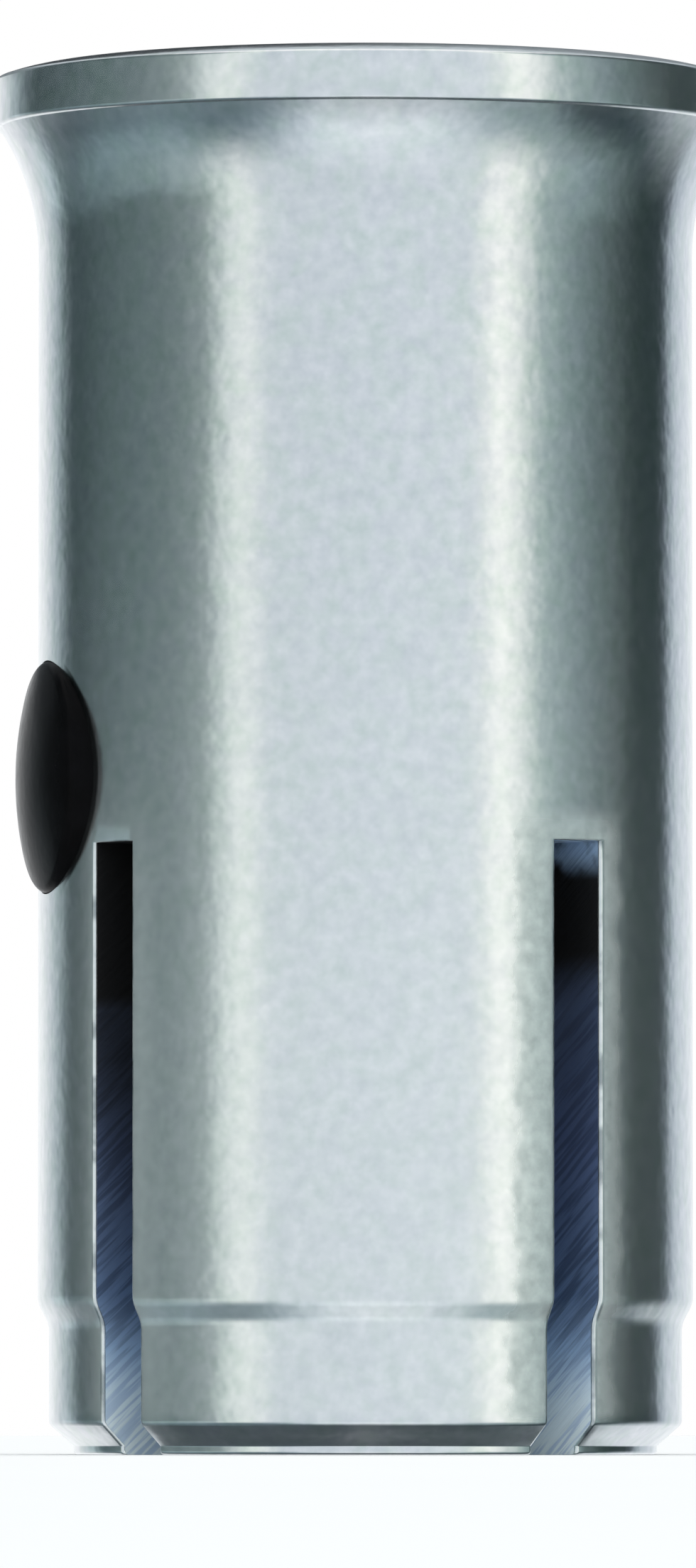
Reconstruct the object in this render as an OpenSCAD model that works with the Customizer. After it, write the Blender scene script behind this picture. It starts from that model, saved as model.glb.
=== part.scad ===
// Lipped drop-in anchor, M10 by 25, for a 12 mm hole. Millimetres, +Z up.
// The origin is on the axis, in the plane of the foot. The flange is at the top.
// Azimuth 0 is the front (-Y), and +90 is +X.

/* [Body] */
// Whole length, from the foot to the crown of the flange
total_length = 25; // [22:0.5:32]
// Diameter of the plain part of the body
body_d = 11.8; // [11.4:0.1:12.4]
// Diameter of the turned-down end
lower_d = 11.4; // [11:0.1:11.6]
// Height of the turned-down end
lower_height = 2.34; // [1.5:0.01:4]
// Height of the sloping shoulder above it
shoulder_height = 0.38; // [0.1:0.01:0.5]
// Height of the upright land at the foot
foot_land = 0.15; // [0.05:0.01:0.25]
// Height of the chamfer above that land
foot_chamfer_height = 0.4; // [0.2:0.05:0.6]
// How far that chamfer comes in
foot_chamfer_depth = 0.45; // [0.2:0.05:0.6]

/* [Flange] */
// Diameter of the flange
flange_d = 13.4; // [13:0.1:15]
// Height of the straight wall of the flange
flange_wall = 0.82; // [0.5:0.02:1.2]
// Height of the crown above that wall
crown_height = 0.26; // [0.2:0.02:0.5]
// Width of the crown, from the wall to the flat
crown_width = 1.15; // [0.8:0.05:1.3]
// Radius of the small edges of the flange
flange_edge_r = 0.08; // [0.04:0.01:0.09]
// Overhang of the flange past the flare under it
flange_overhang = 0.1; // [0.1:0.01:0.3]
// Height of the flare, one arc that leaves the body straight up
flare_height = 2.35; // [1.8:0.05:3]

/* [Bore] */
// Crest diameter of the thread, a standard M10
thread_crest_d = 8.5; // [8.2:0.1:8.7]
// Length of the threaded wall
thread_length = 9.5; // [8:0.5:9.5]
// Diameter of the countersunk mouth
mouth_d = 10.4; // [9.6:0.1:10.6]
// Diameter of the plain bore under the thread
plain_bore_d = 8.9; // [8.8:0.1:9.2]
// Height at which the taper starts to close
taper_top_z = 8.8; // [8:0.1:9.2]
// Angle of the taper to the axis
taper_angle = 9; // [7:0.5:10]
// Chamfer of the bore at the foot
bore_chamfer = 0.2; // [0.1:0.05:0.3]

/* [Slots] */
// Width of the saw cuts
slot_w = 1.04; // [0.8:0.02:1.4]
// Height of the saw cuts above the foot
slot_height = 10.9; // [9:0.1:11]
// Azimuth of the first cut
slot_azimuth = 45; // [45:1:50]

/* [Expansion plug] */
// Diameter of the plug
plug_d = 8.4; // [8:0.05:8.4]
// Height of its straight part
plug_straight = 1.2; // [0.8:0.1:1.4]
// Height of its tapered nose
plug_nose = 4.2; // [3:0.1:5]
// Chamfer on both its ends
plug_chamfer = 0.25; // [0.1:0.05:0.4]
// Gap left between the nose and the taper
seat_gap = 0.03; // [0.02:0.01:0.06]

/* [Retaining button] */
// Azimuth of the button
button_azimuth = -71.1; // [-75:0.1:-70]
// Height of its centre
button_z = 12.15; // [12:0.05:12.6]
// Diameter of its head
button_head_d = 4.2; // [3.6:0.1:4.2]
// Diameter of its shank
button_shank_d = 2.8; // [2:0.1:2.8]
// Distance of the top of its domed face from the axis
button_face = 6.31; // [6.1:0.01:6.4]
// Radius of the dome
button_dome_r = 6.5; // [5:0.5:12]
// Distance of the seat under its head from the axis
button_seat = 5.1; // [5:0.05:5.2]
// Distance of its inner end from the axis
button_tip = 3.9; // [3.9:0.05:4.1]
// Radius of the edge of its head
button_edge_r = 0.2; // [0.05:0.01:0.25]

/* [Hidden] */
$fn = 96;
ARC_STEPS = 6;
CUT_MARGIN = 1;
RIGHT_ANGLE = 90;

body_r = body_d / 2;
lower_r = lower_d / 2;
flange_r = flange_d / 2;
foot_r = lower_r - foot_chamfer_depth;
crown_edge_r = flange_r - flange_edge_r;
crown_flat_r = flange_r - crown_width;
wall_top_z = total_length - crown_height;
wall_bottom_z = wall_top_z - flange_wall;
crown_angle = 2 * atan((crown_height - flange_edge_r) / (crown_edge_r - crown_flat_r));
crown_r = (crown_edge_r - crown_flat_r) / sin(crown_angle) + flange_edge_r;

flare_run = flange_r - flange_overhang - body_r;
flare_r = (pow(flare_height, 2) + pow(flare_run, 2)) / (2 * flare_run);
flare_angle = asin(flare_height / flare_r);
flare_start_z = wall_bottom_z - flare_height;

crest_r = thread_crest_d / 2;
mouth_r = mouth_d / 2;
plain_bore_r = plain_bore_d / 2;
thread_top_z = total_length - (mouth_r - crest_r);
thread_bottom_z = thread_top_z - thread_length;
taper_run = tan(taper_angle);
taper_foot_r = plain_bore_r - taper_top_z * taper_run;

plug_r = plug_d / 2;
plug_edge_z = taper_top_z - (plain_bore_r - plug_r) / taper_run + seat_gap / sin(taper_angle);
plug_bottom_z = plug_edge_z - plug_nose;
plug_top_z = plug_edge_z + plug_straight;
plug_tip_r = plug_r - plug_nose * taper_run;

// Points on an arc from angle a0 to angle a1, in degrees
function arc(centre, r, a0, a1) =
    [for (i = [0:ARC_STEPS]) let (a = a0 + (a1 - a0) * i / ARC_STEPS)
        centre + r * [cos(a), sin(a)]];

// The outside of the sleeve from the foot to the rim of the flat top, as [radius, height]
function outside_profile() = concat(
    [[foot_r, 0], [foot_r, foot_land], [lower_r, foot_land + foot_chamfer_height], [lower_r, lower_height]],
    [[body_r, lower_height + shoulder_height]],
    arc([body_r + flare_r, flare_start_z], flare_r, 2 * RIGHT_ANGLE, 2 * RIGHT_ANGLE - flare_angle),
    arc([crown_edge_r, wall_bottom_z + flange_edge_r], flange_edge_r, -RIGHT_ANGLE, 0),
    arc([crown_edge_r, wall_top_z], flange_edge_r, 0, RIGHT_ANGLE - crown_angle),
    arc([crown_flat_r, total_length - crown_r], crown_r, RIGHT_ANGLE - crown_angle, RIGHT_ANGLE));

// The inside of the sleeve from the mouth down to the foot, as [radius, height]
function inside_profile() = [
    [mouth_r, total_length],
    [crest_r, thread_top_z],
    [crest_r, thread_bottom_z],
    [plain_bore_r, thread_bottom_z - (plain_bore_r - crest_r)],
    [plain_bore_r, taper_top_z],
    [taper_foot_r + bore_chamfer * taper_run, bore_chamfer],
    [taper_foot_r + bore_chamfer * taper_run + bore_chamfer, 0]];

// Two crossing saw cuts make the four slots that open at the foot
module saw_cuts() {
    for (turn = [0, RIGHT_ANGLE])
        rotate([0, 0, slot_azimuth + turn])
            translate([-body_r - CUT_MARGIN, -slot_w / 2, -CUT_MARGIN])
                cube([body_d + 2 * CUT_MARGIN, slot_w, slot_height + CUT_MARGIN]);
}

// Stands its children on end along the button's own axis, which points outwards
module along_button() {
    translate([0, 0, button_z])
        rotate([0, RIGHT_ANGLE, button_azimuth - RIGHT_ANGLE])
            children();
}

// One turned and tapped steel sleeve: flange, flare, body, turned-down end and four slots
module sleeve() {
    color("lightsteelblue")
        difference() {
            rotate_extrude()
                polygon(concat(outside_profile(), inside_profile()));
            saw_cuts();
            along_button() {
                translate([0, 0, button_tip - CUT_MARGIN])
                    cylinder(d = button_shank_d, h = body_r);
                translate([0, 0, button_seat])
                    cylinder(d = button_head_d, h = body_r);
            }
        }
}

// Solid steel plug that the punch drives down the taper to spread the four legs
module expansion_plug() {
    color("silver")
        rotate_extrude()
            polygon([
                [0, plug_bottom_z],
                [plug_tip_r - plug_chamfer, plug_bottom_z],
                [plug_tip_r + plug_chamfer * taper_run, plug_bottom_z + plug_chamfer],
                [plug_r, plug_edge_z],
                [plug_r, plug_top_z - plug_chamfer],
                [plug_r - plug_chamfer, plug_top_z],
                [0, plug_top_z]]);
}

// Black moulded button pressed into the wall, whose shank keeps the plug from coming out
module retaining_button() {
    head_r = button_head_d / 2;
    shank_r = button_shank_d / 2;
    dome_z = button_face - button_dome_r;
    edge_tilt = asin((head_r - button_edge_r) / (button_dome_r - button_edge_r));
    edge_z = dome_z + (button_dome_r - button_edge_r) * cos(edge_tilt);
    color("black")
        along_button()
            rotate_extrude()
                polygon(concat(
                    [[0, button_tip], [shank_r, button_tip], [shank_r, button_seat], [head_r, button_seat]],
                    arc([head_r - button_edge_r, edge_z], button_edge_r, 0, RIGHT_ANGLE - edge_tilt),
                    arc([0, dome_z], button_dome_r, RIGHT_ANGLE - edge_tilt, RIGHT_ANGLE)));
}

sleeve();
expansion_plug();
retaining_button();
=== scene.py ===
"""A lipped drop-in anchor, standing on its foot in a soft studio.

Lengths are in millimetres and become metres where a mesh is made. Azimuth 0 is the front (-Y) and +90 is +X,
so the point at radius r and azimuth a is (r sin a, -r cos a).
"""

import bmesh
import bpy
import numpy as np
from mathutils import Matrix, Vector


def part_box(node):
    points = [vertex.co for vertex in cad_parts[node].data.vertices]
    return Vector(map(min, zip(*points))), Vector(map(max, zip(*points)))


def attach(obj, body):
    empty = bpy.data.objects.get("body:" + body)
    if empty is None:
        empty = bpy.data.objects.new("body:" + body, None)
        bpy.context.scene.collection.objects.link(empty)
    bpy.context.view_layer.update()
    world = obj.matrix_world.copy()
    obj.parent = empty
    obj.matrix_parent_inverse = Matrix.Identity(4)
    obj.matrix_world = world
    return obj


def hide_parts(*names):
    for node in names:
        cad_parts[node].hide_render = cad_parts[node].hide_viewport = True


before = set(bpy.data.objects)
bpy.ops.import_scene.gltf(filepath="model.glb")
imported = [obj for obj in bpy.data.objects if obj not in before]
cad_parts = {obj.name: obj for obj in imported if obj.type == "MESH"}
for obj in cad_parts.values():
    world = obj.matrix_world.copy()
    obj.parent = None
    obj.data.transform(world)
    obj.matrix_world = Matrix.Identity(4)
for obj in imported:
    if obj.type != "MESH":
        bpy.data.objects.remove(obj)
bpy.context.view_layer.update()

# The camera
# The photograph was taken level with the foot, and so close that the flange's rim bows upwards. It looks at
# the front leg from 5 degrees to its right, and the anchor fills the frame.
MM = 0.001
FRAME_W, FRAME_H = 980, 2208
PIXELS_PER_MM = 78.1
AXIS_X, FOOT_Y = 514.5, 2048
CAMERA_DISTANCE = 284
CAMERA_HEIGHT = 0.4
CAMERA_AZIMUTH = 5.0
SENSOR_SIZE = 36
NEAREST, FARTHEST = 10, 20000


def towards(azimuth):
    """The level unit vector (sin a, -cos a, 0) that points towards an azimuth in degrees."""
    a = np.radians(azimuth)
    return np.array([np.sin(a), -np.cos(a), 0])


def add_camera():
    """A long lens, tilted and turned a little, so that the axis and the foot land on their pixels."""
    camera = bpy.data.objects.new("camera", bpy.data.cameras.new("camera"))
    bpy.context.scene.collection.objects.link(camera)
    focal_pixels = PIXELS_PER_MM * CAMERA_DISTANCE
    camera.data.sensor_width = SENSOR_SIZE
    camera.data.lens = focal_pixels * SENSOR_SIZE / FRAME_H
    camera.data.clip_start, camera.data.clip_end = NEAREST * MM, FARTHEST * MM
    camera.location = (towards(CAMERA_AZIMUTH) * CAMERA_DISTANCE + [0, 0, CAMERA_HEIGHT]) * MM
    eye_level_y = FOOT_Y - CAMERA_HEIGHT * PIXELS_PER_MM
    pitch = np.arctan((eye_level_y - FRAME_H / 2) / focal_pixels)
    yaw = np.arctan((AXIS_X - FRAME_W / 2) / focal_pixels)
    camera.rotation_euler = (np.pi / 2 + pitch, 0, np.radians(CAMERA_AZIMUTH) + yaw)
    bpy.context.scene.camera = camera


add_camera()

# The steel sleeve
# One piece of turned steel, zinc plated: flange, flare, body and turned-down end, with an M10 thread in the
# mouth, a taper that closes towards the foot, and two crossing saw cuts that leave four legs.
sleeve_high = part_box("sleeve")[1]
TOTAL = sleeve_high.z / MM
FLANGE_R = sleeve_high.x / MM
BODY_R, LOWER_R, FOOT_R = 5.9, 5.7, 5.25
LOWER_Z, SHOULDER_Z, FOOT_LAND_Z, FOOT_CHAMFER_Z = 2.34, 2.72, 0.15, 0.55
FLARE_HEIGHT, OVERHANG = 2.35, 0.1
WALL_HEIGHT, CROWN_HEIGHT, CROWN_WIDTH = 0.82, 0.26, 1.15
FOOT_EDGE, LAND_EDGE, CHAMFER_EDGE, SHOULDER_EDGE = 0.07, 0.03, 0.15, 0.5
FLANGE_EDGE, MOUTH_EDGE, CREST_EDGE, BORE_EDGE = 0.08, 0.06, 0.1, 0.02
WALL_TOP_Z = TOTAL - CROWN_HEIGHT
WALL_BOTTOM_Z = WALL_TOP_Z - WALL_HEIGHT
CROWN_FLAT_R = FLANGE_R - CROWN_WIDTH
MOUTH_R, CREST_R, ROOT_R, PLAIN_R = 5.2, 4.25, 5.05, 4.45
PITCH, THREAD_LENGTH, RUN_OUT = 1.5, 9.5, 1.6
GROOVE_HALF, FLANK = PITCH * 13 / 32, PITCH * 3 / 8
THREAD_TOP_Z = TOTAL - (MOUTH_R - CREST_R)
THREAD_BOTTOM_Z = THREAD_TOP_Z - THREAD_LENGTH
TAPER_TOP_Z, TAPER_FOOT_R, BORE_CHAMFER = 8.8, 3.056, 0.2
SLOT_HALF, SLOT_TOP, BURR, TOP_BURR = 0.52, 10.9, 0.07, 0.02
SLOT_AZIMUTHS = (-45, 45, 135, 225)
LEG_COLUMNS, SLOT_COLUMNS, HOLE_COLUMNS = 48, 6, 96
EDGE_STEPS, CUT_STEPS, FLARE_STEPS, CROWN_STEPS = 4, 8, 20, 8
LONG_STEP, THREAD_STEP, MERGE_DISTANCE = 0.5, 0.05, 0.0005
SHARP_ANGLE = 50
ZINC, SAWN, BORE = 0, 1, 2
BUTTON_AZIMUTH, BUTTON_Z = -71.1, 12.15
BUTTON_HEAD_R, BUTTON_SHANK_R, BUTTON_SEAT, BUTTON_TIP = 2.1, 1.4, 5.1, 3.9
DRILL_MARGIN = 1


def arc(centre, radius, start, end, steps):
    """Points centre + radius (cos a, sin a) for angles from start to end, in degrees."""
    a = np.radians(np.linspace(start, end, steps + 1))[:, None]
    return np.array(centre) + radius * np.concatenate([np.cos(a), np.sin(a)], 1)


def rounded(corners):
    """The path through corners (r, z, radius), each inner one replaced by the arc tangent to both its sides:
    its centre lies on the corner's bisector, at radius / sin(half the corner's angle)."""
    path = [np.array([corners[0][:2]])]
    for before, (r, z, radius), after in zip(corners, corners[1:], corners[2:]):
        corner = np.array([r, z])
        sides = np.array([before[:2], after[:2]]) - corner
        sides /= np.linalg.norm(sides, axis=1)[:, None]
        half = np.arccos(sides[0] @ sides[1]) / 2
        centre = corner + sides.sum(0) / np.linalg.norm(sides.sum(0)) * radius / np.sin(half)
        ends = corner + sides * radius / np.tan(half) - centre
        turn, s = np.pi - 2 * half, np.linspace(0, 1, EDGE_STEPS + 1)[:, None]
        path.append(centre + (np.sin((1 - s) * turn) * ends[0] + np.sin(s * turn) * ends[1]) / np.sin(turn))
    path.append(np.array([corners[-1][:2]]))
    return np.concatenate(path)


def split(path, longest):
    """The same path with each span cut into equal parts no longer than the longest."""
    parts = np.ceil(np.linalg.norm(np.diff(path, axis=0), axis=1) / longest).astype(int)
    along = np.repeat(np.arange(len(parts)), parts) + np.concatenate([np.arange(n) / n for n in parts])
    along = np.append(along, len(parts))
    return np.stack([np.interp(along, np.arange(len(path)), column) for column in path.T], -1)


def ring_profile():
    """The ring above the saw cuts as (r, z): up the body, over the flange and down the bore. The flare is an
    arc that leaves the body upright, and the crown is one that ends level at the flat round the mouth."""
    run, start_z = FLANGE_R - OVERHANG - BODY_R, WALL_BOTTOM_Z - FLARE_HEIGHT
    flare_r = (FLARE_HEIGHT ** 2 + run ** 2) / (2 * run)
    flare_angle = np.degrees(np.arcsin(FLARE_HEIGHT / flare_r))
    flare = arc((BODY_R + flare_r, start_z), flare_r, 180, 180 - flare_angle, FLARE_STEPS)
    rim = rounded([(*flare[-1], 0), (FLANGE_R, WALL_BOTTOM_Z, FLANGE_EDGE), (FLANGE_R, WALL_TOP_Z, 0)])
    rise, reach = TOTAL - WALL_TOP_Z - FLANGE_EDGE, FLANGE_R - FLANGE_EDGE - CROWN_FLAT_R
    crown_angle = 2 * np.degrees(np.arctan(rise / reach))
    crown_r = reach / np.sin(np.radians(crown_angle)) + FLANGE_EDGE
    edge = arc((FLANGE_R - FLANGE_EDGE, WALL_TOP_Z), FLANGE_EDGE, 0, 90 - crown_angle, EDGE_STEPS)
    crown = arc((CROWN_FLAT_R, TOTAL - crown_r), crown_r, 90 - crown_angle, 90, CROWN_STEPS)
    mouth = rounded([
        (CROWN_FLAT_R, TOTAL, 0), (MOUTH_R, TOTAL, MOUTH_EDGE), (CREST_R, THREAD_TOP_Z, CREST_EDGE),
        (CREST_R, THREAD_BOTTOM_Z, BORE_EDGE), (PLAIN_R, THREAD_BOTTOM_Z - (PLAIN_R - CREST_R), BORE_EDGE),
        (PLAIN_R, THREAD_BOTTOM_Z - 2 * (PLAIN_R - CREST_R), 0)])
    wall = split(np.array([(BODY_R, SLOT_TOP + TOP_BURR), flare[0]]), LONG_STEP)
    bore = split(np.array([mouth[-1], (PLAIN_R, SLOT_TOP)]), LONG_STEP)
    return np.concatenate([
        wall, flare[1:], rim[1:], edge[1:], crown[1:], split(mouth, THREAD_STEP)[1:], bore[1:]])


def leg_profiles():
    """The outside and the inside of a leg as (r, z), from the cuts' top to the foot, at the same heights."""
    corners = [
        (FOOT_R - 2 * FOOT_EDGE, 0, 0), (FOOT_R, 0, FOOT_EDGE), (FOOT_R, FOOT_LAND_Z, LAND_EDGE),
        (LOWER_R, FOOT_CHAMFER_Z, CHAMFER_EDGE), (LOWER_R, LOWER_Z, SHOULDER_EDGE),
        (BODY_R, SHOULDER_Z, SHOULDER_EDGE), (BODY_R, SLOT_TOP + TOP_BURR, 0)]
    outside = split(rounded(corners)[1:], LONG_STEP)[::-1]
    z = np.minimum(outside[:, 1], SLOT_TOP)
    taper = (PLAIN_R - TAPER_FOOT_R) / TAPER_TOP_Z
    chamfer_r = TAPER_FOOT_R + BORE_CHAMFER * taper
    heights = [0, BORE_CHAMFER, TAPER_TOP_Z, TOTAL]
    radii = [chamfer_r + BORE_CHAMFER, chamfer_r, PLAIN_R, PLAIN_R]
    return outside, np.stack([np.interp(z, heights, radii), z], -1)


def turned(profile, azimuths):
    """Rows of (r, z) turned about the axis to columns at azimuths, in degrees."""
    a = np.radians(azimuths)
    r, z = profile[:, :1], profile[:, 1:]
    return np.stack([r * np.sin(a), -r * np.cos(a), z + 0 * a], -1)


def whole_turn(columns):
    """Azimuths of that many columns round the axis, and of the first again."""
    return np.linspace(0, 360, columns + 1)


def columns_between_cuts(radii, half_cut):
    """Azimuths of a turned row's columns. In each quarter the first ones span the saw cut, from -e to +e
    about its middle with sin e = half_cut / radius, and the rest span the leg up to the next cut."""
    edge = np.degrees(np.arcsin(half_cut / radii))[:, None]
    over_cut = edge * np.linspace(-1, 1, SLOT_COLUMNS + 1)[:-1]
    over_leg = edge + (90 - 2 * edge) * np.linspace(0, 1, LEG_COLUMNS + 1)[:-1]
    quarter = np.concatenate([over_cut, over_leg], 1)
    columns = np.concatenate([quarter + middle for middle in SLOT_AZIMUTHS], 1)
    return np.concatenate([columns, columns[:, :1] + 360], 1)


def cut_thread(points):
    """Pushes bore points out to the thread: a vee that climbs one pitch a turn and fades out at the bottom.
    Its flanks lie about 30 degrees from level, and round off into its root and its wider crest."""
    x, y, z = np.moveaxis(points, -1, 0)
    turn = np.arctan2(x, -y) / (2 * np.pi)
    from_root = np.abs((z / PITCH - turn) % 1 - 0.5) * PITCH
    vee = np.clip((GROOVE_HALF - from_root) / FLANK, 0, 1)
    fade = np.clip((z - THREAD_BOTTOM_Z) / RUN_OUT, 0, 1)
    depth = (ROOT_R - CREST_R) * vee ** 2 * (3 - 2 * vee) * fade
    r = np.hypot(x, y)
    grow = np.maximum(r, CREST_R + depth) / r
    return np.stack([x * grow, y * grow, z], -1)


def saw_cut(outside, inside, azimuth):
    """The faces of one cut, from its outline on the outside to the one on the bore. The first rows turn a
    quarter circle from the outside into the cut, and the rest run straight in."""
    out_way, side_way = towards(azimuth), towards(azimuth + 90)
    row = np.arange(EDGE_STEPS + CUT_STEPS + 1)[:, None]
    turn = np.radians(90) * np.minimum(row / EDGE_STEPS, 1)
    inward = np.maximum(row - EDGE_STEPS, 0) / CUT_STEPS
    wider = 1 - np.sin(turn)
    t = outside @ side_way * (SLOT_HALF + BURR * wider) / (SLOT_HALF + BURR)
    z = np.minimum(outside[:, 2], SLOT_TOP + TOP_BURR * wider)
    x = np.sqrt(np.hypot(outside[:, 0], outside[:, 1]) ** 2 - t ** 2) - BURR * (1 - np.cos(turn))
    pairs = (t, inside @ side_way), (z, inside[:, 2]), (x, inside @ out_way)
    t, z, x = (near + (far - near) * inward for near, far in pairs)
    return x[..., None] * out_way + t[..., None] * side_way + z[..., None] * [0, 0, 1]


def make_mesh(name, patches):
    """One mesh of grids of points (rows, columns, 3), each paired with its material's number. Quads join
    neighbours, and points that grids share are merged."""
    vertices, faces, numbers, count = [], [], [], 0
    for points, number in patches:
        index = np.arange(points[..., 0].size).reshape(points.shape[:2]) + count
        quads = np.stack([index[:-1, :-1], index[:-1, 1:], index[1:, 1:], index[1:, :-1]], -1).reshape(-1, 4)
        vertices.append(points.reshape(-1, 3) * MM)
        faces.append(quads)
        numbers.append(np.full(len(quads), number, np.int32))
        count += index.size
    mesh = bpy.data.meshes.new(name)
    mesh.from_pydata(np.concatenate(vertices), [], np.concatenate(faces).tolist())
    mesh.polygons.foreach_set("material_index", np.concatenate(numbers))
    work = bmesh.new()
    work.from_mesh(mesh)
    bmesh.ops.remove_doubles(work, verts=work.verts, dist=MERGE_DISTANCE * MM)
    bmesh.ops.recalc_face_normals(work, faces=work.faces)
    work.to_mesh(mesh)
    work.free()
    mesh.shade_smooth()
    return mesh


def sleeve_patches():
    """The ring with its thread, and for each quarter a leg's outside, inside and foot and the saw cut."""
    ring = ring_profile()
    half_cuts = np.linspace(SLOT_HALF + BURR, SLOT_HALF, len(ring))
    ring = cut_thread(turned(ring, columns_between_cuts(ring[:, 0], half_cuts)))
    legs = [
        turned(rows, columns_between_cuts(rows[:, 0], half))
        for rows, half in zip(leg_profiles(), (SLOT_HALF + BURR, SLOT_HALF))]
    quarter = SLOT_COLUMNS + LEG_COLUMNS
    lefts = range(0, len(SLOT_AZIMUTHS) * quarter, quarter)
    mouth = np.argmin(np.hypot(*ring[:, 0, :2].T) > MOUTH_R)
    patches = [(ring[:mouth + 1], ZINC), (ring[mouth:], BORE)]
    for left, azimuth in zip(lefts, SLOT_AZIMUTHS):
        right, end = left + SLOT_COLUMNS, left + quarter + 1
        outlines = [
            np.concatenate([leg[:0:-1, left], top[left:right + 1], leg[1:, right]])
            for leg, top in zip(legs, (ring[0], ring[-1]))]
        cut = saw_cut(*outlines, azimuth)
        patches += [(leg[:, right:end], number) for leg, number in zip(legs, (ZINC, BORE))]
        patches += [(cut[:EDGE_STEPS + 1], ZINC), (cut[EDGE_STEPS:], SAWN)]
    foot_side = cut[:, -1]
    radii = np.hypot(foot_side[:, 0], foot_side[:, 1])
    columns = columns_between_cuts(radii, foot_side @ towards(SLOT_AZIMUTHS[-1] + 90))
    foot = turned(np.stack([radii, 0 * radii], -1), columns)
    return patches + [(foot[:, left + SLOT_COLUMNS:left + quarter + 1], ZINC) for left in lefts]


def along_button(points):
    """Turns points (x, y, height) so that their height lies along the button's axis, pointing outwards."""
    out_way, side_way = towards(BUTTON_AZIMUTH), towards(BUTTON_AZIMUTH + 90)
    turned_points = points[..., 2:] * out_way + points[..., :1] * side_way + points[..., 1:2] * [0, 0, 1]
    return turned_points + [0, 0, BUTTON_Z]


def add_piece(name, mesh, materials, body, node):
    """A finished piece at the origin, with flat areas shaded flat, that rides on a body for a CAD node."""
    piece = bpy.data.objects.new(name, mesh)
    bpy.context.scene.collection.objects.link(piece)
    for material in materials:
        mesh.materials.append(material)
    smooth = piece.modifiers.new("even shading", "WEIGHTED_NORMAL")
    smooth.keep_sharp = True
    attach(piece, body)
    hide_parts(node)


def drill(mesh, cutter_mesh):
    """The mesh less the cutter's solid."""
    whole, cutter = (bpy.data.objects.new(m.name, m) for m in (mesh, cutter_mesh))
    for each in (whole, cutter):
        bpy.context.scene.collection.objects.link(each)
    drilling = whole.modifiers.new("drilling", "BOOLEAN")
    drilling.operation, drilling.solver, drilling.object = "DIFFERENCE", "EXACT", cutter
    drilled = bpy.data.meshes.new_from_object(whole.evaluated_get(bpy.context.evaluated_depsgraph_get()))
    for each in (whole, cutter):
        bpy.data.objects.remove(each)
    drilled.set_sharp_from_angle(angle=np.radians(SHARP_ANGLE))
    return drilled


class Wire:
    """The output of a shader node, on which arithmetic adds Math nodes."""

    def __init__(self, graph, socket):
        self.graph, self.socket = graph, socket

    def math(self, operation, *terms):
        """A Math node on these terms."""
        return self.graph.node("ShaderNodeMath", {"operation": operation}, dict(enumerate(terms)))

    def __add__(self, other):
        return self.math("ADD", self, other)

    def __sub__(self, other):
        return self.math("SUBTRACT", self, other)

    def __rsub__(self, other):
        return self.math("SUBTRACT", other, self)

    def __mul__(self, other):
        return self.math("MULTIPLY", self, other)

    def __truediv__(self, other):
        return self.math("DIVIDE", self, other)

    __radd__, __rmul__ = __add__, __mul__


class Graph:
    """The node tree of a material or of the world."""

    def __init__(self, owner):
        owner.use_nodes = True
        self.tree = owner.node_tree
        self.tree.nodes.clear()

    def node(self, kind, settings=None, sockets=None, output=""):
        """Adds a node, sets its settings, then its sockets to values or wires, and returns the output named
        or else the first one in use."""
        node = self.tree.nodes.new(kind)
        for name, value in (settings or {}).items():
            if name == "stops":
                for _ in value[2:]:
                    node.color_ramp.elements.new(0.5)
                for element, (position, colour) in zip(node.color_ramp.elements, value):
                    element.position, element.color = position, (*colour, 1)
            else:
                setattr(node, name, value)
        inputs = {s.name: s for s in reversed(node.inputs) if s.enabled}
        for name, value in (sockets or {}).items():
            socket = node.inputs[name] if isinstance(name, int) else inputs[name]
            if isinstance(value, Wire):
                self.tree.links.new(value.socket, socket)
            else:
                socket.default_value = value
        outputs = [s for s in node.outputs if s.enabled and output in ("", s.name)]
        return Wire(self, outputs[0] if outputs else None)

    def place(self):
        """The point of the surface in its object's own coordinates, in metres."""
        return self.node("ShaderNodeTexCoord", output="Object")

    def axes(self):
        """The x, y and z of that point in mm."""
        return [self.node("ShaderNodeSeparateXYZ", {}, {"Vector": self.place()}, axis) / MM for axis in "XYZ"]

    def noise(self, size, detail):
        """Noise from 0 to 1 whose blobs are about as wide as size, in mm."""
        scale = [1 / (size * MM)] * 3
        spread = self.node("ShaderNodeVectorMath", {"operation": "MULTIPLY"}, {0: self.place(), 1: scale})
        return self.node("ShaderNodeTexNoise", {}, {"Vector": spread, "Scale": 1, "Detail": detail})

    def mix(self, factor, first, second):
        """A colour between two others."""
        return self.node("ShaderNodeMix", {"data_type": "RGBA"}, {"Factor": factor, "A": first, "B": second})

    def step(self, value, start, end):
        """0 below start and 1 above end, with a smooth step between."""
        return self.node("ShaderNodeMapRange", {"interpolation_type": "SMOOTHSTEP"}, {
            "Value": value, "From Min": start, "From Max": end})

    def between(self, value, start, full, fade, end):
        """1 between full and fade, with a smooth step up from start and another down to end."""
        return self.step(value, start, full) * self.step(value, end, fade)

    def bump(self, height, depth, normal=None):
        """A normal bent by a height from 0 to 1 that stands for depth, in mm."""
        sockets = {"Height": height, "Distance": depth * MM}
        if normal:
            sockets["Normal"] = normal
        return self.node("ShaderNodeBump", {}, sockets)


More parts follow.
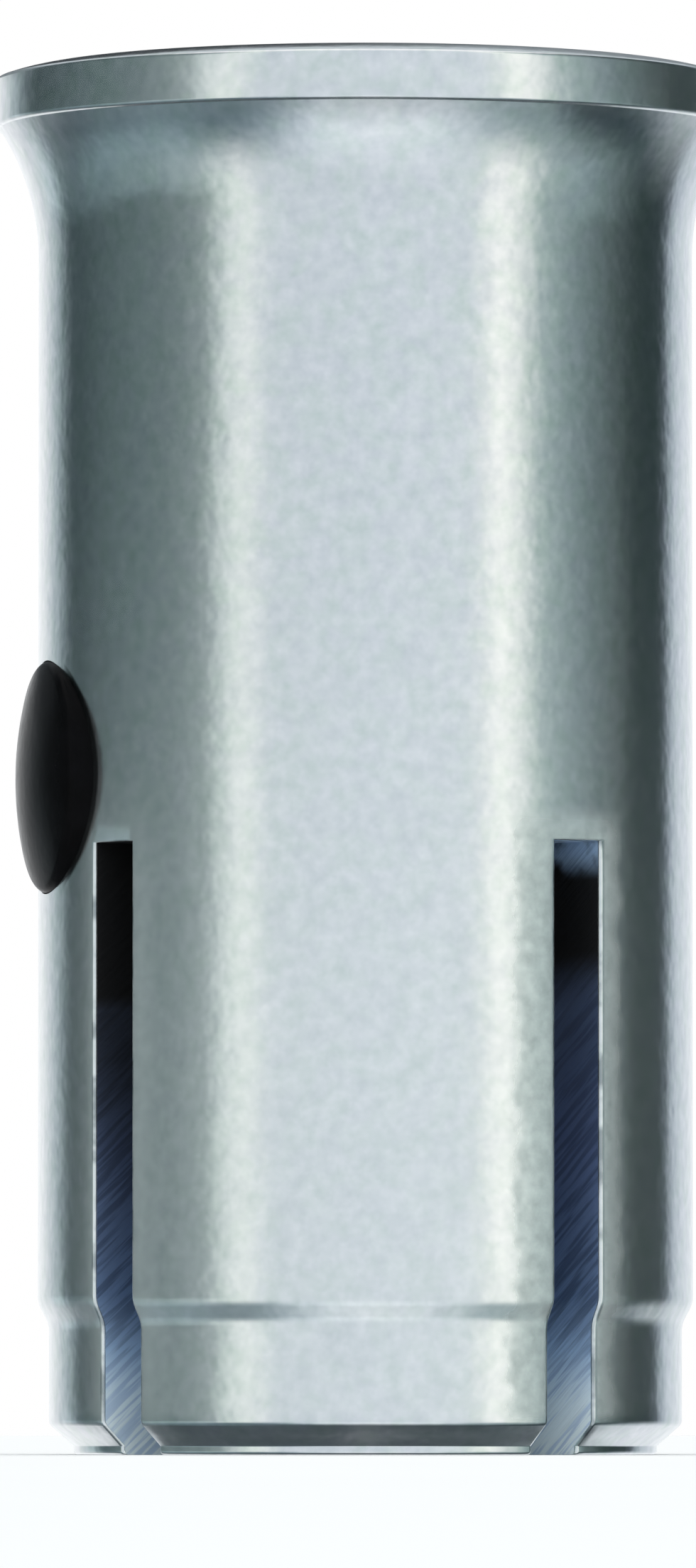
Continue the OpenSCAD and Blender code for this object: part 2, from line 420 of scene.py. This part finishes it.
# Where the finish changes: a step is 0 at the first of each pair of places and 1 at the second
BURR_WIDTH, BROKEN_WIDTH, BURR_TOP = (0.65, 0.59), (0.6, 0.57), (SLOT_TOP + 0.05, SLOT_TOP)
STRIP, SIDE_STRIP, STRIP_RAGGED, STRIP_TOP = (1.5, 1.15), (1.2, 0.65), 0.6, (11.6, 10.9)
LEFT_HALF, RIGHT_HALF, RIGHT_LEG = (0.1, 0), (0, 0.1), (4.1, 4.3)
LEFT_EDGE, RIGHT_EDGE = (-4.4, -4.9), (4.7, 5.1)
# The ring of painted reflection of the button's black side lies round the button's hole
BUTTON_REFLECTION_RADII, HOLE_UPRIGHT, BUTTON_SIDE = (BUTTON_HEAD_R + 0.17, BUTTON_HEAD_R + 0.1), (0.9, 1.4), (-3, -4)
DULLER_DOWN, ABOVE_FOOT, BESIDE_CUT, BESIDE_TOP = (20, 6), (0.5, 0.8), (1.4, 0.6), (12.5, 10)
FLANGE_ONLY = (WALL_BOTTOM_Z - 0.3, WALL_BOTTOM_Z)
# Painted shade deep in the saw cuts: where it rises, its slope, and its thinner reach in the left cuts
SHADE_RISE, SHADE_SLOPE, THIN_SHADE, LEFT_CUTS = (7.4, 8.6), 0.09, (2.6, 7.4), (0, -1)
# The saw marks are paler low down, with the painted light at the cut's open foot
TINT_TOP, RIGHT_CUTS, SCRATCH_LIT_LOW, METAL_ABOVE = (10.2, 10.75), (0, 1), (3, 1), (1, 3)
ZINC_GREEN, ZINC_BLUE, ZINC_BRIGHT = (0.53, 0.64, 0.59, 1), (0.57, 0.615, 0.655, 1), (0.96, 0.95, 0.98, 1)
ZINC_EVEN, DULL_DARK, DULL_BRIGHT = (0.76, 0.8, 0.79, 1), (0.73, 0.78, 0.77, 1), (0.97, 0.99, 0.99, 1)
MATT_DARK, MATT_BRIGHT = (0.36, 0.41, 0.4, 1), (0.84, 0.91, 0.89, 1)
# The near black beside the button is its black side's painted reflection
BARE_BURR, PAINTED_BUTTON_REFLECTION = (0.14, 0.18, 0.2, 1), (0.02, 0.025, 0.03, 1)
# The bore's colours are darker than the outside's: painted shade inside the bore
BORE_DARK, BORE_BRIGHT = (0.56, 0.59, 0.6, 1), (0.74, 0.76, 0.78, 1)
# Sawn steel by height: painted light at the open foot, darkening upwards as painted shade
SLOT_LIGHT_TO_SHADE = (
    (0, (0.92, 1, 1)), (0.09, (0.82, 0.94, 1)), (0.17, (0.5, 0.68, 0.9)), (0.26, (0.26, 0.38, 0.6)),
    (0.5, (0.17, 0.24, 0.44)), (0.68, (0.12, 0.17, 0.3)))
SCRATCH_DARK, SCRATCH_PALE = (0.06, 0.085, 0.15, 1), (0.32, 0.46, 0.7, 1)
# The black of the painted shade towards the saw cuts' closed ends
SLOT_SHADE_BLACK, BLUE_TINT = (0.004, 0.004, 0.005, 1), (0.35, 0.5, 0.7, 1)
MARK_SLOPE, MARK_LENGTH = 1.1, 1.2


def metal(name, colour_of, roughness_of, normal_of, metallic_of=None):
    """A metal whose colour, roughness, normal and share of bare metal come from functions of its graph."""
    material = bpy.data.materials.new(name)
    graph = Graph(material)
    surface = graph.node("ShaderNodeBsdfPrincipled", {}, {
        "Base Color": colour_of(graph), "Roughness": roughness_of(graph), "Normal": normal_of(graph),
        "Metallic": metallic_of(graph) if metallic_of else 1})
    graph.node("ShaderNodeOutputMaterial", {}, {"Surface": surface})
    return material


def from_cut(graph):
    """The distance in mm from the middle plane of the nearer saw cut: |x + y| or |x - y|, over root two."""
    x, y, _ = graph.axes()
    return x.math("MINIMUM", x.math("ABSOLUTE", x + y), x.math("ABSOLUTE", x - y)) / np.sqrt(2)


def matt_strip(graph):
    """1 in the ragged strips where sawing has dulled the zinc, on both sides of the right cuts."""
    x, _, z = graph.axes()
    on_side_leg = graph.step(x, *RIGHT_LEG)
    cut = from_cut(graph)
    ragged = cut + STRIP_RAGGED * graph.noise(0.5, 3) - STRIP_RAGGED / 2
    strip = graph.step(ragged, *STRIP) * (1 - on_side_leg) + graph.step(ragged, *SIDE_STRIP) * on_side_leg
    burr = graph.step(cut, *BURR_WIDTH) * graph.step(z, *BURR_TOP)
    within = graph.step(x, *RIGHT_HALF) * graph.step(z, *STRIP_TOP) * graph.step(z, *ABOVE_FOOT)
    return strip * (1 - burr) * within


def button_reflection_mask(graph):
    """1 on the painted reflection of the button's black side, in a ring round the button's hole at its two
    upright sides: r from the hole's axis is sqrt(across^2 + above^2)."""
    x, y, z = graph.axes()
    side_x, side_y, _ = towards(BUTTON_AZIMUTH + 90)
    across, above = x * side_x + y * side_y, z - BUTTON_Z
    r = x.math("SQRT", across * across + above * above)
    upright = graph.step(x.math("ABSOLUTE", across), *HOLE_UPRIGHT) * graph.step(x, *BUTTON_SIDE)
    return graph.step(r, *BUTTON_REFLECTION_RADII) * upright


def zinc_colour(graph):
    """A fine mottle between greenish and bluish grey, evener where the zinc is dull and greyer in the matt
    strips. It is dark where the burr along a saw cut is broken away, and has a painted reflection of the
    button's black side at the upright sides of the button's hole."""
    green_or_blue = graph.step(graph.noise(0.5, 2), 0.36, 0.64)
    dark = graph.mix(green_or_blue, ZINC_GREEN, ZINC_BLUE)
    grain = graph.noise(0.28, 2)
    mottle = graph.mix(0.4 * graph.noise(0.8, 1), graph.mix(grain, dark, ZINC_BRIGHT), ZINC_EVEN)
    dull = graph.mix(4 * (1 - zinc_metallic(graph)), mottle, graph.mix(grain, DULL_DARK, DULL_BRIGHT))
    matt = graph.mix(graph.noise(0.25, 3), MATT_DARK, MATT_BRIGHT)
    zinc = graph.mix(0.95 * matt_strip(graph), dull, matt)
    _, _, z = graph.axes()
    burr = graph.step(from_cut(graph), *BROKEN_WIDTH) * graph.step(z, *BURR_TOP)
    broken = burr * graph.step(graph.noise(0.9, 3), 0.46, 0.62)
    zinc = graph.mix(0.65 * broken, zinc, BARE_BURR)
    # Painted reflection of the button's black side, round the hole's upright sides
    return graph.mix(0.85 * button_reflection_mask(graph), zinc, PAINTED_BUTTON_REFLECTION)


def zinc_roughness(graph):
    """Bright, but a little uneven."""
    return 0.13 + 0.08 * graph.noise(0.3, 3)


def zinc_normal(graph):
    """A low wave from turning, with the plating's fine grain on it."""
    wave = graph.bump(graph.noise(1.2, 1), 0.008)
    return graph.bump(graph.noise(0.3, 1), 0.005, wave)


def zinc_metallic(graph):
    """Bright metal above and duller zinc towards the foot, less so at the far left and right. It is duller
    again beside the left cuts and in the matt strips beside the right ones, and a little on the flange."""
    x, _, z = graph.axes()
    low = 0.12 * graph.step(z, *DULLER_DOWN) * graph.step(z, *ABOVE_FOOT)
    low = low * (1 - 0.6 * graph.step(x, *RIGHT_EDGE))
    beside = 0.1 * graph.step(from_cut(graph), *BESIDE_CUT) * graph.step(z, *BESIDE_TOP)
    duller = (low + beside * graph.step(x, *LEFT_HALF)) * (1 - 0.4 * graph.step(x, *LEFT_EDGE))
    return 1 - duller - 0.4 * matt_strip(graph) - 0.03 * graph.step(z, *FLANGE_ONLY)


def shaded_bore_colour(graph):
    """A mottle darker than outside: painted shade inside the bore."""
    return graph.mix(graph.noise(0.3, 2), BORE_DARK, BORE_BRIGHT)


def bore_roughness(graph):
    """Rougher than outside."""
    return 0.2 + 0.14 * graph.noise(0.3, 2)


def saw_marks(graph, size):
    """Noise drawn out along planes that rise with x, as the saw left them: z - slope x stays the same."""
    x, y, z = graph.axes()
    across = (z - MARK_SLOPE * x) / size
    spread = graph.node("ShaderNodeCombineXYZ", {}, {"X": across, "Y": x / MARK_LENGTH, "Z": y / MARK_LENGTH})
    return graph.node("ShaderNodeTexNoise", {}, {"Vector": spread, "Scale": 1, "Detail": 2})


def slot_shade(graph):
    """0 on sawn steel and 1 in the painted shade deep in the cut, towards its closed end. In the
    left cuts a thinner painted shade reaches further down."""
    x, _, z = graph.axes()
    thin = 0.85 * graph.step(z, *THIN_SHADE) * graph.step(x, *LEFT_CUTS)
    return x.math("MAXIMUM", thin, graph.step(z - SHADE_SLOPE * x, *SHADE_RISE))


def sawn_colour(graph):
    """Steel pale with painted light at the open foot, darkening upwards to navy as painted shade and, towards
    the cut's closed end, to black painted shade, with a blue tint again at the very top of the right cuts."""
    x, _, z = graph.axes()
    # Painted light at the foot, darkening upwards as painted shade
    slot_light = graph.node("ShaderNodeValToRGB", {"stops": SLOT_LIGHT_TO_SHADE}, {"Fac": z / SLOT_TOP})
    scratch = graph.step(saw_marks(graph, 0.12), 0.44, 0.6)
    scratch_colour = graph.mix(graph.step(z, *SCRATCH_LIT_LOW), SCRATCH_DARK, SCRATCH_PALE)
    # Painted black shade towards the cut's closed end
    black = graph.mix(slot_shade(graph), graph.mix(0.55 * scratch, slot_light, scratch_colour), SLOT_SHADE_BLACK)
    cloud = graph.step(graph.noise(0.5, 2), 0.3, 0.6)
    return graph.mix(graph.step(z, *TINT_TOP) * graph.step(x, *RIGHT_CUTS) * cloud, black, BLUE_TINT)


def sawn_roughness(graph):
    """Matt steel, matter still in the painted shade towards the cut's closed end."""
    return 0.35 + 0.2 * graph.noise(0.2, 2) + 0.35 * slot_shade(graph)


def sawn_normal(graph):
    """Fine ridges along the saw marks."""
    return graph.bump(saw_marks(graph, 0.09), 0.02)


def sawn_metallic(graph):
    """Half a metal's reflection, but none at the pale foot or in the painted shade towards the closed end."""
    _, _, z = graph.axes()
    return 0.5 * graph.step(z, *METAL_ABOVE) * (1 - slot_shade(graph))


zinc_plating = metal("zinc plating", zinc_colour, zinc_roughness, zinc_normal, zinc_metallic)
sawn_steel = metal("sawn steel", sawn_colour, sawn_roughness, sawn_normal, sawn_metallic)
bore_steel = metal("plated bore", shaded_bore_colour, bore_roughness, zinc_normal)
hole_profile = np.array([
    (0, BUTTON_TIP - DRILL_MARGIN), (BUTTON_SHANK_R, BUTTON_TIP - DRILL_MARGIN),
    (BUTTON_SHANK_R, BUTTON_SEAT), (BUTTON_HEAD_R, BUTTON_SEAT),
    (BUTTON_HEAD_R, BODY_R + DRILL_MARGIN), (0, BODY_R + DRILL_MARGIN)])
hole = make_mesh("button hole", [(along_button(turned(hole_profile, whole_turn(HOLE_COLUMNS))), 0)])
sleeve_mesh = drill(make_mesh("turned_sleeve", sleeve_patches()), hole)
sleeve_metals = [zinc_plating, sawn_steel, bore_steel]
add_piece("turned_sleeve", sleeve_mesh, sleeve_metals, "anchor", "sleeve")

# The expansion plug
# A loose turned steel plug, whose nose sits on the taper. It is driven down to spread the legs.
plug_low, plug_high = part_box("expansion_plug")
PLUG_BOTTOM_Z, PLUG_TOP_Z = plug_low.z / MM, plug_high.z / MM
PLUG_R, PLUG_TIP_R, PLUG_EDGE_Z, PLUG_CHAMFER = 4.2, 3.535, 7.413, 0.25
PLUG_EDGE, NOSE_EDGE, PLUG_STEP, PLUG_COLUMNS = 0.05, 0.1, 0.4, 144
PLUG_DARK, PLUG_BRIGHT = (0.50, 0.52, 0.54, 1), (0.60, 0.61, 0.62, 1)
RING_WIDTH = 0.07


def plug_profile():
    """The plug as (r, z) from the middle of its nose to the middle of its top: chamfer, cone, straight part
    and chamfer, with every corner rounded."""
    slope = (PLUG_R - PLUG_TIP_R) / (PLUG_EDGE_Z - PLUG_BOTTOM_Z)
    return split(rounded([
        (0, PLUG_BOTTOM_Z, 0), (PLUG_TIP_R - PLUG_CHAMFER, PLUG_BOTTOM_Z, PLUG_EDGE),
        (PLUG_TIP_R + slope * PLUG_CHAMFER, PLUG_BOTTOM_Z + PLUG_CHAMFER, PLUG_EDGE),
        (PLUG_R, PLUG_EDGE_Z, NOSE_EDGE), (PLUG_R, PLUG_TOP_Z - PLUG_CHAMFER, PLUG_EDGE),
        (PLUG_R - PLUG_CHAMFER, PLUG_TOP_Z, PLUG_EDGE), (0, PLUG_TOP_Z, 0)]), PLUG_STEP)


def plug_colour(graph):
    """Bare steel, faintly clouded."""
    return graph.mix(graph.noise(0.3, 3), PLUG_DARK, PLUG_BRIGHT)


def plug_roughness(graph):
    """Turned steel with a smear of oil."""
    return 0.25 + 0.15 * graph.noise(0.4, 3)


def plug_normal(graph):
    """Rings left by the turning tool, on which radius + z stays the same."""
    x, y, z = graph.axes()
    radius = x.math("SQRT", x * x + y * y)
    rings = graph.node("ShaderNodeTexNoise", {"noise_dimensions": "1D"}, {
        "W": (radius + z) / RING_WIDTH, "Scale": 1, "Detail": 2})
    return graph.bump(rings, 0.006)


turned_steel = metal("turned steel", plug_colour, plug_roughness, plug_normal)
plug_mesh = make_mesh("tapered_plug", [(turned(plug_profile(), whole_turn(PLUG_COLUMNS)), 0)])
add_piece("tapered_plug", plug_mesh, [turned_steel], "plug", "expansion_plug")

# The retaining button
# Moulded black plastic, pressed into a stepped hole in the sleeve's wall, a little proud of it.
BUTTON_FACE, BUTTON_DOME_R, BUTTON_EDGE = 6.31, 6.5, 0.2
TIP_EDGE, SHANK_EDGE, SEAT_EDGE = 0.15, 0.02, 0.05
BUTTON_STEP, BUTTON_EDGE_STEPS, DOME_STEPS, BUTTON_COLUMNS = 0.25, 6, 8, 120
PLASTIC_DARK, PLASTIC_PALE = (0.003, 0.003, 0.003, 1), (0.006, 0.006, 0.007, 1)
PLASTIC_GLOSS = 0.022


def button_profile():
    """The button as (r, height) along its own axis, from its inner end to the top of its dome. The edge is a
    small circle that touches both the dome and the head's side."""
    edge_r, dome_z = BUTTON_HEAD_R - BUTTON_EDGE, BUTTON_FACE - BUTTON_DOME_R
    tilt = np.degrees(np.arcsin(edge_r / (BUTTON_DOME_R - BUTTON_EDGE)))
    edge_z = dome_z + (BUTTON_DOME_R - BUTTON_EDGE) * np.cos(np.radians(tilt))
    inner = rounded([
        (0, BUTTON_TIP, 0), (BUTTON_SHANK_R, BUTTON_TIP, TIP_EDGE), (BUTTON_SHANK_R, BUTTON_SEAT, SHANK_EDGE),
        (BUTTON_HEAD_R, BUTTON_SEAT, SEAT_EDGE), (BUTTON_HEAD_R, edge_z, 0)])
    edge = arc((edge_r, edge_z), BUTTON_EDGE, 0, 90 - tilt, BUTTON_EDGE_STEPS)
    dome = arc((0, dome_z), BUTTON_DOME_R, 90 - tilt, 90, DOME_STEPS)
    return np.concatenate([split(inner, BUTTON_STEP), edge[1:], dome[1:]])


def black_plastic():
    """A nearly black plastic, a little uneven, whose faint gloss shows only at its rim."""
    material = bpy.data.materials.new("black plastic")
    graph = Graph(material)
    surface = graph.node("ShaderNodeBsdfPrincipled", {}, {
        "Base Color": graph.mix(graph.noise(0.4, 3), PLASTIC_DARK, PLASTIC_PALE),
        "Roughness": 0.14 + 0.12 * graph.noise(0.3, 2), "Normal": graph.bump(graph.noise(0.2, 2), 0.003),
        "Specular IOR Level": PLASTIC_GLOSS})
    graph.node("ShaderNodeOutputMaterial", {}, {"Surface": surface})
    return material


button_points = along_button(turned(button_profile(), whole_turn(BUTTON_COLUMNS)))
button_mesh = make_mesh("moulded_button", [(button_points, 0)])
add_piece("moulded_button", button_mesh, [black_plastic()], "anchor", "retaining_button")

# The studio
# A pale floor under light by direction: a broad soft light in front between darker sides, a bright strip low
# behind with a grey wall above it, and a light overhead. Azimuths are in degrees or parts of a turn from the
# middle of the front light, and heights in degrees above the horizon.
FLOOR_HALF, FLOOR_Z, FLOOR_CLOUD = 1500, -0.005, 60
FLOOR_GREY, FLOOR_PALE = (0.88, 0.88, 0.88, 1), (0.9, 0.9, 0.9, 1)
LIGHT_AZIMUTH = CAMERA_AZIMUTH + 3.5
LIGHT_AROUND = (
    (-180, (1.1, 1.12, 1.14)), (-161, (0.92, 0.94, 0.96)), (-152, (0.68, 0.73, 0.76)),
    (-146, (0.5, 0.57, 0.6)), (-140, (0.29, 0.36, 0.38)), (-134, (0.09, 0.12, 0.13)),
    (-129, (0.05, 0.075, 0.08)), (-119, (0.07, 0.1, 0.105)), (-106, (0.1, 0.14, 0.145)),
    (-88, (0.14, 0.19, 0.195)), (-78, (0.165, 0.215, 0.22)), (-69, (0.22, 0.275, 0.28)),
    (-62, (0.28, 0.34, 0.34)), (-56, (0.6, 0.68, 0.66)), (-51, (0.88, 0.94, 0.91)),
    (-46, (0.96, 1, 0.96)), (-37, (0.72, 0.78, 0.82)), (0, (0.75, 0.81, 0.86)),
    (33, (0.78, 0.84, 0.88)), (38, (0.86, 0.91, 0.9)), (45, (1.2, 1.2, 1.14)),
    (53, (0.88, 0.93, 0.89)), (61, (0.4, 0.5, 0.49)), (74, (0.24, 0.31, 0.32)),
    (84, (0.15, 0.2, 0.205)), (95, (0.09, 0.12, 0.12)), (106, (0.038, 0.056, 0.056)),
    (124, (0.028, 0.045, 0.047)), (128, (0.08, 0.1, 0.12)), (132, (0.36, 0.42, 0.47)),
    (139, (0.64, 0.7, 0.76)), (180, (1.1, 1.12, 1.14)))
LIGHT_BELOW = (
    (-180, (1.15, 1.16, 1.18)), (-158, (0.9, 0.92, 0.94)), (-138, (0.2, 0.24, 0.26)),
    (-124, (0.09, 0.12, 0.135)), (-111, (0.13, 0.18, 0.2)), (-87, (0.17, 0.235, 0.26)),
    (-63, (0.145, 0.2, 0.225)), (-51, (0.2, 0.27, 0.3)), (-40, (0.36, 0.44, 0.48)),
    (-27, (0.74, 0.82, 0.87)), (-14, (0.88, 0.95, 0.99)), (0, (0.92, 0.98, 1.01)),
    (25, (0.84, 0.91, 0.95)), (38, (0.62, 0.7, 0.73)), (50, (0.41, 0.5, 0.52)),
    (62, (0.29, 0.37, 0.38)), (72, (0.28, 0.36, 0.37)), (80, (0.1, 0.14, 0.15)),
    (88, (0.035, 0.05, 0.06)), (103, (0.035, 0.055, 0.065)), (110, (0.08, 0.11, 0.12)),
    (118, (0.24, 0.28, 0.3)), (125, (0.42, 0.47, 0.5)), (145, (0.8, 0.84, 0.88)),
    (180, (1.15, 1.16, 1.18)))
DRAWN_IN, FRONT_TO_BACK, UNDER_FRONT, UNDER_BACK = (-8, -28), (0.3, 0.38), (-42, -82), (-40, -46)
TO_BELOW = (-20, -46), 18, (0.24, 0.32)
LEFT_GLOW = (-0.43, -0.38, -0.215, -0.15)
LEFT_GLOW_TOP, LEFT_GLOW_FOOT = ((-11, -17), 12, (0.22, 0.36)), ((-45, -31), 22, (0.22, 0.38))
RIGHT_GLOW, RIGHT_GLOW_HEIGHT = (0.18, 0.23, 0.28, 0.31), (-27, -22, -6, -1)
WALL_AROUND, WALL_FOOT, WALL_BRIGHTER = (125 / 360, 150 / 360), (6, 10), (22, 32)
WALL_GAP, OVERHEAD_HEIGHT = (178 / 360, 174 / 360), (52, 66)
UNDER = (0.07, 0.085, 0.095, 1)
WALL_MIDDLE, WALL_SIDE, WALL_HIGH = (0.02, 0.025, 0.03, 1), (0.22, 0.25, 0.27, 1), (0.6, 0.65, 0.68, 1)
OVERHEAD, OVERHEAD_ON_MATT, WHITE = (1.1, 1.1, 1.1, 1), (3.3, 3.3, 3.3, 1), (1, 1, 1, 1)


def add_floor():
    """A wide floor with a faint unevenness in its tone. The metal mirrors the studio below it instead."""
    corners = np.array([[-1, -1], [1, -1], [-1, 1], [1, 1]]).reshape(2, 2, 2) * FLOOR_HALF
    corners = np.concatenate([corners, np.full((2, 2, 1), FLOOR_Z)], -1)
    floor = bpy.data.objects.new("floor", make_mesh("floor", [(corners, 0)]))
    bpy.context.scene.collection.objects.link(floor)
    material = bpy.data.materials.new("pale floor")
    graph = Graph(material)
    surface = graph.node("ShaderNodeBsdfDiffuse", {}, {
        "Color": graph.mix(graph.noise(FLOOR_CLOUD, 2), FLOOR_GREY, FLOOR_PALE)})
    graph.node("ShaderNodeOutputMaterial", {}, {"Surface": surface})
    floor.data.materials.append(material)
    floor.visible_glossy = False


def light_round(graph, stops, around):
    """The colour of a light whose stops give its azimuths in degrees, for a direction in parts of a turn."""
    ramp = [(azimuth / 360 + 0.5, colour) for azimuth, colour in stops]
    return graph.node("ShaderNodeValToRGB", {"stops": ramp}, {"Fac": around + 0.5})


def add_studio_light():
    """One ramp gives the light round the horizon and another the light 45 degrees below it. A glow lies low
    at each side, further down it is dark, and the wall stands behind above the horizon. Diffuse rays find
    the light overhead brighter, and the camera sees white."""
    world = bpy.data.worlds.new("studio")
    bpy.context.scene.world = world
    graph = Graph(world)
    direction = graph.node("ShaderNodeTexCoord", output="Generated")
    x, y, z = (graph.node("ShaderNodeSeparateXYZ", {}, {"Vector": direction}, axis) for axis in "XYZ")
    (front_x, front_y, _), (side_x, side_y, _) = towards(LIGHT_AZIMUTH), towards(LIGHT_AZIMUTH + 90)
    front, side = x * front_x + y * front_y, x * side_x + y * side_y
    height = z.math("ARCSINE", z) / np.radians(1)
    around = side.math("ARCTAN2", side, front) / (2 * np.pi)
    turn = around.math("ABSOLUTE", around)

    def height_step(heights, rise, turns):
        """A step in height that lies rise degrees higher farther round."""
        return graph.step(height - rise * graph.step(turn, *turns), *heights)

    level = light_round(graph, LIGHT_AROUND, around * (1 - 0.07 * graph.step(height, *DRAWN_IN)))
    low = graph.mix(height_step(*TO_BELOW), level, light_round(graph, LIGHT_BELOW, around))

    left_glow = graph.between(around, *LEFT_GLOW) * height_step(*LEFT_GLOW_TOP) * height_step(*LEFT_GLOW_FOOT)
    right_glow = graph.between(around, *RIGHT_GLOW) * graph.between(height, *RIGHT_GLOW_HEIGHT)
    low = graph.node("ShaderNodeVectorMath", {"operation": "SCALE"}, {
        "Vector": low, "Scale": 1 + 0.65 * left_glow + 0.4 * right_glow})
    far = graph.step(turn, *FRONT_TO_BACK)
    under = graph.step(height, *(near + (back - near) * far for near, back in zip(UNDER_FRONT, UNDER_BACK)))
    low = graph.mix(0.9 * under, low, UNDER)

    wall = graph.mix(graph.step(turn, *WALL_GAP), WALL_MIDDLE, WALL_SIDE)
    wall = graph.mix(graph.step(height, *WALL_BRIGHTER), wall, WALL_HIGH)
    low = graph.mix(graph.step(turn, *WALL_AROUND) * graph.step(height, *WALL_FOOT), low, wall)

    on_matt = graph.node("ShaderNodeLightPath", output="Is Diffuse Ray")
    overhead = graph.mix(on_matt, OVERHEAD, OVERHEAD_ON_MATT)
    light = graph.mix(graph.step(height, *OVERHEAD_HEIGHT), low, overhead)
    seen = graph.node("ShaderNodeLightPath", output="Is Camera Ray")
    background = graph.node("ShaderNodeBackground", {}, {"Color": graph.mix(seen, light, WHITE)})
    graph.node("ShaderNodeOutputWorld", {}, {"Surface": background})


add_floor()
add_studio_light()
bpy.context.scene.view_settings.view_transform = "Standard"
